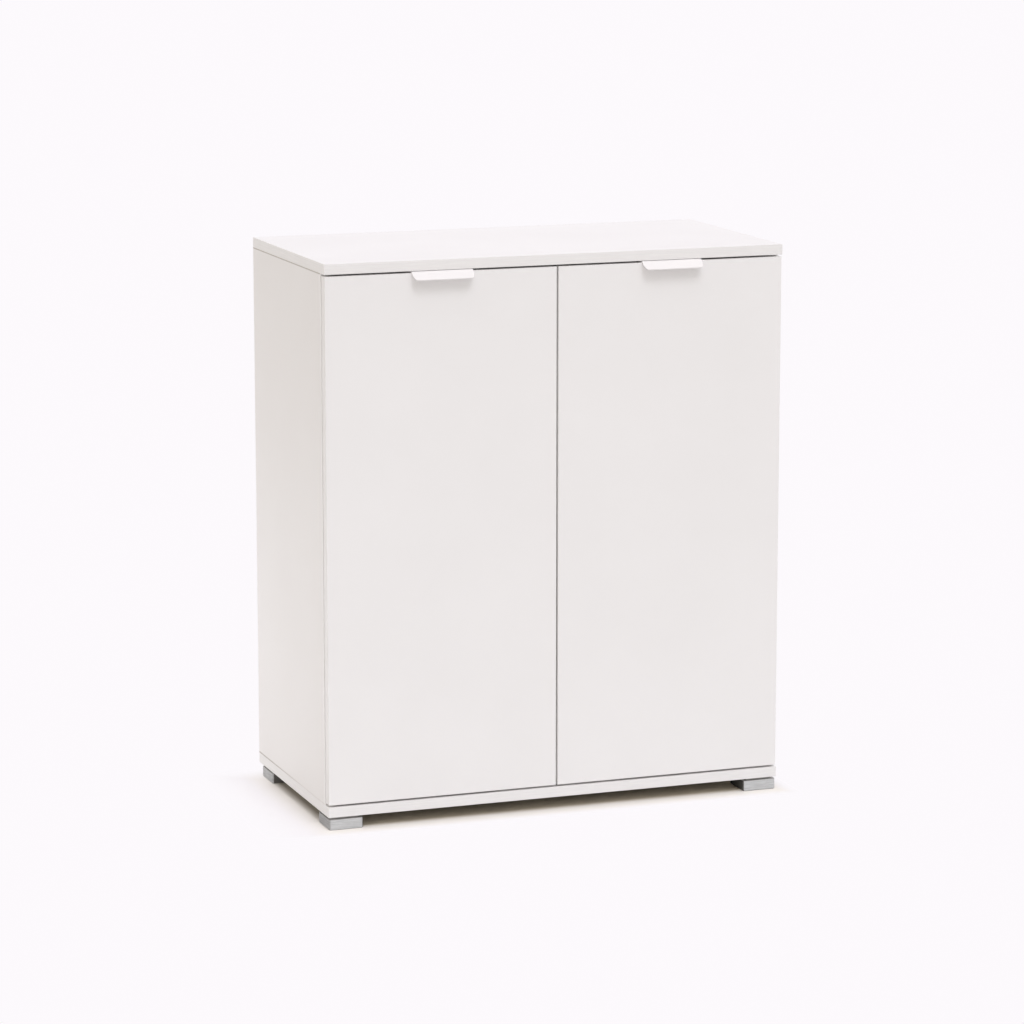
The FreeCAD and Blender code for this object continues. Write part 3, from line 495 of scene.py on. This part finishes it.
def silver_foot():
    """Silver lacquer with fine brushing round the foot; neck, sole and inner faces are painted dark and
    not metallic, as painted shade.
    """
    material, tree, shader, coords = new_material("silver_foot")
    run = arithmetic(tree, "ADD", part_of(tree, coords["Object"], ALONG_X),
                     part_of(tree, coords["Object"], ALONG_Y))
    height = part_of(tree, coords["Object"], ALONG_Z)
    brush = use(tree, streaks, Along=run, Across=height, Length=foot_brush_length, Width=foot_brush_width)
    neck_or_sole = arithmetic(tree, "MAXIMUM", arithmetic(tree, "GREATER_THAN", height, foot_body_top),
                              arithmetic(tree, "LESS_THAN", height, foot_sole_shade_height))
    inner = looks_inward(tree, coords)
    # Neck, sole and inner faces: painted shade, dark and not metallic
    bare = arithmetic(tree, "MAXIMUM", neck_or_sole, inner)
    silver = blend_colours(tree, brush["Streak"], foot_silver_shade, foot_silver)
    outer_coat = blend_colours(tree, neck_or_sole, silver, foot_neck_painted_shade)
    finish_with(tree, shader, {
        "Base Color": blend_colours(tree, inner, outer_coat, foot_inner_painted_shade),
        "Metallic": span(tree, bare, 0.0, 1.0, foot_metallic, 0.0),
        "Roughness": span(tree, brush["Streak"], 0.0, 1.0, *foot_rough),
        "Normal": relief(tree, brush["Streak"], foot_relief),
    })
    return material


def painted_pull():
    """Powder coat: a fine orange peel over sheet steel."""
    material, tree, shader, coords = new_material("painted_pull")
    peel = use(tree, pores, Place=coords["Object"], Pore=paint_pore, Patch=paint_patch)
    duller = shaded(paint_white, paint_shade_share)
    finish_with(tree, shader, {
        "Base Color": blend_colours(tree, peel["Drift"], duller, paint_white),
        "Roughness": span(tree, peel["Height"], 0.0, 1.0, *paint_rough),
        "Normal": relief(tree, peel["Height"], paint_relief),
    })
    return material


def plated(name, bright, dull, rough):
    """Plated steel: rolled streaks and slow clouds under a bright plating."""
    material, tree, shader, coords = new_material(name)
    surface = use(tree, pores, Place=coords["Object"], Pore=plate_pore, Patch=plate_patch)
    roll = use(tree, streaks, Along=part_of(tree, coords["Object"], ALONG_Z),
               Across=part_of(tree, coords["Object"], ALONG_Y),
               Length=plate_roll_length, Width=plate_roll_width)
    clouds = arithmetic(tree, "MULTIPLY", surface["Drift"], roll["Streak"])
    finish_with(tree, shader, {
        "Base Color": blend_colours(tree, clouds, dull, bright),
        "Roughness": span(tree, surface["Height"], 0.0, 1.0, *rough),
        "Normal": relief(tree, roll["Streak"], plate_relief),
    }, Metallic=1.0)
    return material


def beech_dowel():
    """Bare beech with its grain along the dowel."""
    material, tree, shader, coords = new_material("beech")
    across = arithmetic(tree, "ADD", part_of(tree, coords["Object"], ALONG_X),
                        part_of(tree, coords["Object"], ALONG_Y))
    grain = use(tree, streaks, Along=part_of(tree, coords["Object"], ALONG_Z), Across=across,
                Length=beech_grain_length, Width=beech_grain_width)
    finish_with(tree, shader, {
        "Base Color": blend_colours(tree, grain["Streak"], beech_dark, beech_light),
        "Roughness": span(tree, grain["Streak"], 0.0, 1.0, *beech_rough),
        "Normal": relief(tree, grain["Streak"], beech_relief),
    })
    return material


def soft_bumper():
    """Milky soft plastic that lets some light through."""
    material, tree, shader, coords = new_material("soft_bumper")
    surface = use(tree, pores, Place=coords["Object"], Pore=bumper_pore, Patch=bumper_patch)
    milky = shaded(bumper_clear, bumper_shade_share)
    finish_with(tree, shader, {
        "Base Color": blend_colours(tree, surface["Drift"], milky, bumper_clear),
        "Roughness": span(tree, surface["Height"], 0.0, 1.0, *bumper_rough),
        "Normal": relief(tree, surface["Height"], bumper_relief),
    }, Transmission_Weight=bumper_transmission)
    return material


# Which finish each node wears

finishes = {
    "top": melamine_board("top_board", ALONG_Z, top_white_painted_lighter, top_shade_painted_lighter),
    "level": melamine_board("level_board", ALONG_Z, melamine_white, melamine_shade),
    "side": melamine_board("side_board", ALONG_X, side_white_painted_darker, side_shade_painted_darker, seams=True),
    "door": melamine_board("door_board", ALONG_Y, door_white_painted_lighter, door_shade_painted_lighter),
    "level_band": edge_band("level_band", (ALONG_X, ALONG_Y), ALONG_Z),
    "door_band": edge_band("door_band", (ALONG_X, ALONG_Z), ALONG_Y, faces_door_gap),
    "side_band": edge_band("side_band", (ALONG_Z, ALONG_Y), ALONG_X, faces_side_gap),
    "back": fibre_back(),
    "strip": joining_strip(),
    "foot": silver_foot(),
    "pull": painted_pull(),
    "nickel": plated("nickel_plate", nickel, nickel_shade, nickel_rough),
    "zinc": plated("zinc_plate", zinc, zinc_shade, zinc_rough),
    "beech": beech_dowel(),
    "bumper": soft_bumper(),
}

worn_by = {
    "top": ("top_panel",),
    "level": ("base_panel", "lower_shelf", "upper_shelf"),
    "side": ("left_side_panel", "right_side_panel"),
    "door": ("left_door_panel", "right_door_panel"),
    "level_band": ("top_edge_bands", "base_edge_bands", "shelf_edge_bands"),
    "door_band": ("left_door_edge_bands", "right_door_edge_bands"),
    "side_band": ("side_edge_bands",),
    "back": ("back_panel_left", "back_panel_right"),
    "strip": ("back_joining_strip",),
    "foot": ("foot_front_left", "foot_front_right", "foot_rear_left", "foot_rear_right"),
    "pull": ("left_handle", "right_handle"),
    "nickel": tuple(
        side + "_" + level + "_hinge_" + part
        for side in ("left", "right") for level in ("lower", "upper") for part in ("plate", "arm", "cup")
    ) + tuple(
        side + "_" + part
        for side in ("left", "right") for part in ("outer_links", "inner_links", "cup_pins")
    ) + ("hinge_arm_pins",),
    "zinc": ("cam_locks", "cam_bolts", "shelf_pegs", "foot_screws", "hinge_plate_screws",
             "hinge_arm_screws", "left_cup_screws", "right_cup_screws", "left_handle_screws",
             "right_handle_screws"),
    "beech": ("wood_dowels",),
    "bumper": ("left_door_bumpers", "right_door_bumpers"),
}

for finish, nodes in worn_by.items():
    for node in nodes:
        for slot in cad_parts[node].material_slots:
            slot.material = finishes[finish]


# Floor

def distance_of(tree, first, second):
    """Length of two offsets at right angles, where only what is above zero counts."""
    counted = [arithmetic(tree, "MAXIMUM", offset, 0.0) for offset in (first, second)]
    squares = [arithmetic(tree, "POWER", offset, 2.0) for offset in counted]
    return arithmetic(tree, "SQRT", arithmetic(tree, "ADD", *squares))


def reach_from_footprint(tree, place):
    """How far a place on the floor lies beyond each side of the footprint; less than zero within."""
    low, high = cad_box
    along_x, along_y = part_of(tree, place, ALONG_X), part_of(tree, place, ALONG_Y)
    return {
        "left": arithmetic(tree, "SUBTRACT", low[ALONG_X], along_x),
        "right": arithmetic(tree, "SUBTRACT", along_x, high[ALONG_X]),
        "front": arithmetic(tree, "SUBTRACT", low[ALONG_Y], along_y),
        "rear": arithmetic(tree, "SUBTRACT", along_y, high[ALONG_Y]),
    }


def within_edge(tree, reach, start, end):
    """One from end inwards, falling to zero at start; both are lengths within the footprint's edge."""
    return span(tree, reach, -end, -start, 1.0, 0.0)


def floor_light(tree, reach, outside, under, rays):
    """The floor's colour for the light that it throws back and for bright metal that mirrors it."""
    leftward = arithmetic(tree, "SUBTRACT", reach["left"], reach["front"])
    towards_left = span(tree, leftward, -bounce_turn, bounce_turn)
    near = blend_colours(tree, towards_left, bounce_front_colour, bounce_left_colour)
    bounced = blend_colours(tree, span(tree, outside, 0.0, bounce_fade_reach), near, bounce_far_colour)
    bounced = blend_colours(tree, under, bounced, bounce_under_colour)
    towards_rear = span(tree, reach["rear"], mirrored_turn_start, mirrored_turn_end)
    mirrored = blend_colours(tree, towards_rear, mirrored_left_colour, mirrored_rear_colour)
    on_left = arithmetic(tree, "GREATER_THAN", reach["left"], 0.0)
    in_metal = arithmetic(tree, "MULTIPLY", on_left, rays["Is Glossy Ray"])
    return blend_colours(tree, in_metal, bounced, mirrored)


def floor_look(tree, reach, outside, under):
    """The floor's colour for the eye, with painted warm shade close by and painted shadow under the
    cabinet and along its left side.
    """
    seen = blend_colours(tree, span(tree, outside, 0.0, floor_near_reach), floor_near_painted_shade, floor_colour)
    seen = blend_colours(tree, under, seen, floor_under_painted_shadow)
    # Painted shadow in a strip along the left side, between the front edge and the rear
    strip = arithmetic(tree, "MULTIPLY", within_edge(tree, reach["left"], left_edge_start, left_edge_end),
                       span(tree, reach["left"], -left_strip_end, -left_strip_width))
    behind_front = within_edge(tree, reach["front"], under_edge_start, under_edge_end)
    before_rear = arithmetic(tree, "LESS_THAN", reach["rear"], 0.0)
    beside = arithmetic(tree, "MULTIPLY", behind_front, before_rear)
    return blend_colours(tree, arithmetic(tree, "MULTIPLY", strip, beside), seen, floor_left_painted_shadow)


def plain_share(tree, reach):
    """How far the floor has given way to the plain backdrop, which it does last on the left."""
    shaded_side = distance_of(tree, span(tree, reach["left"], -floor_left_lead, floor_left_reach),
                              span(tree, reach["front"], -floor_front_lead, floor_front_reach))
    lit_side = distance_of(tree, arithmetic(tree, "DIVIDE", reach["right"], floor_right_reach),
                           span(tree, reach["rear"], -floor_rear_lead, floor_rear_reach))
    return smooth_span(tree, arithmetic(tree, "MAXIMUM", shaded_side, lit_side))


def lay_floor():
    mesh = bpy.data.meshes.new("studio_floor")
    half = floor_half_width
    mesh.from_pydata([(-half, -half, 0), (half, -half, 0), (half, half, 0), (-half, half, 0)],
                     [], [(0, 1, 2, 3)])
    floor = bpy.data.objects.new("studio_floor", mesh)
    bpy.context.scene.collection.objects.link(floor)
    material, tree, shader, coords = new_material("studio_floor")
    reach = reach_from_footprint(tree, coords["Object"])
    across = arithmetic(tree, "MAXIMUM", reach["left"], reach["right"])
    along = arithmetic(tree, "MAXIMUM", reach["front"], reach["rear"])
    outside = distance_of(tree, across, along)
    # Within the footprint's edge: painted shadow on the floor for the eye, a dark floor in the light it
    # throws back
    under = within_edge(tree, arithmetic(tree, "MAXIMUM", across, along), under_edge_start, under_edge_end)
    rays = tree.nodes.new("ShaderNodeLightPath").outputs
    lighting = floor_light(tree, reach, outside, under, rays)
    seen = floor_look(tree, reach, outside, under)
    finish_with(tree, shader, {"Base Color": blend_colours(tree, rays["Is Camera Ray"], lighting, seen)},
                Roughness=1.0, Specular_IOR_Level=0.0)
    plain = add(tree, "ShaderNodeEmission", {"Color": backdrop_colour, "Strength": 1.0})
    seen_plain = arithmetic(tree, "MULTIPLY", plain_share(tree, reach), rays["Is Camera Ray"])
    mix = add(tree, "ShaderNodeMixShader", {0: seen_plain, 1: shader.outputs[0], 2: plain.outputs[0]})
    tree.links.new(mix.outputs[0], tree.nodes["Material Output"].inputs["Surface"])
    mesh.materials.append(material)


# Light and camera

def light_sky():
    """Soft light all round, brighter from above; eyes and bright metal see the plain backdrop."""
    world = bpy.data.worlds.new("studio")
    bpy.context.scene.world = world
    world.use_nodes = True
    tree = world.node_tree
    lit = tree.nodes["Background"]
    direction = tree.nodes.new("ShaderNodeTexCoord").outputs["Generated"]
    upward = part_of(tree, direction, ALONG_Z)
    leftward = span(tree, part_of(tree, direction, ALONG_X), 0.0, -1.0)
    low_sky = blend_colours(tree, span(tree, upward, sky_horizon_rise, sky_low_rise),
                            sky_horizon_colour, sky_low_colour)
    sky = blend_colours(tree, span(tree, upward, sky_low_rise, 1.0), low_sky, sky_high_colour)
    tinted = blend_colours(tree, leftward, sky, sky_left_tint, "MULTIPLY")
    finish_with(tree, lit, {"Color": tinted}, Strength=sky_strength)
    seen = add(tree, "ShaderNodeBackground", {"Color": backdrop_colour, "Strength": 1.0})
    rays = tree.nodes.new("ShaderNodeLightPath").outputs
    shown = arithmetic(tree, "MAXIMUM", rays["Is Camera Ray"],
                       arithmetic(tree, "MAXIMUM", rays["Is Glossy Ray"], rays["Is Transmission Ray"]))
    mix = add(tree, "ShaderNodeMixShader", {0: shown, 1: lit.outputs[0], 2: seen.outputs[0]})
    tree.links.new(mix.outputs[0], tree.nodes["World Output"].inputs["Surface"])


def hang_light(name, direction, spread, strength):
    """A broad even light from far off, of a given spread."""
    lamp = bpy.data.lights.new(name, "SUN")
    lamp.angle = spread
    lamp.energy = strength * math.pi
    lamp.color = lamp_colour
    light = bpy.data.objects.new(name, lamp)
    light.rotation_euler = direction.to_track_quat("Z", "Y").to_euler()
    bpy.context.scene.collection.objects.link(light)


def stand_side_light():
    """A weak low panel behind on the left, which lifts the rear and foot of that side."""
    lamp = bpy.data.lights.new("side_panel_light", "AREA")
    lamp.size = side_panel_width
    lamp.energy = side_panel_power
    lamp.color = side_panel_colour
    light = bpy.data.objects.new("side_panel_light", lamp)
    light.location = side_panel_place
    light.rotation_euler = (side_panel_place - side_panel_aim).to_track_quat("Z", "Y").to_euler()
    light.visible_camera = False
    bpy.context.scene.collection.objects.link(light)


def place_camera():
    data = bpy.data.cameras.new("camera")
    data.lens = camera_lens_mm
    data.sensor_width = camera_sensor_mm
    data.clip_end = 2 * floor_half_width
    camera = bpy.data.objects.new("camera", data)
    camera.location = camera_place
    camera.rotation_euler = (math.pi / 2 - camera_tilt, 0.0, -camera_turn)
    bpy.context.scene.collection.objects.link(camera)
    bpy.context.scene.camera = camera


lay_floor()
light_sky()
hang_light("main_light", main_direction, main_spread, main_strength)
hang_light("overhead_light", overhead_direction, overhead_spread, overhead_strength)
stand_side_light()
place_camera()
bpy.context.scene.view_settings.view_transform = "Standard"
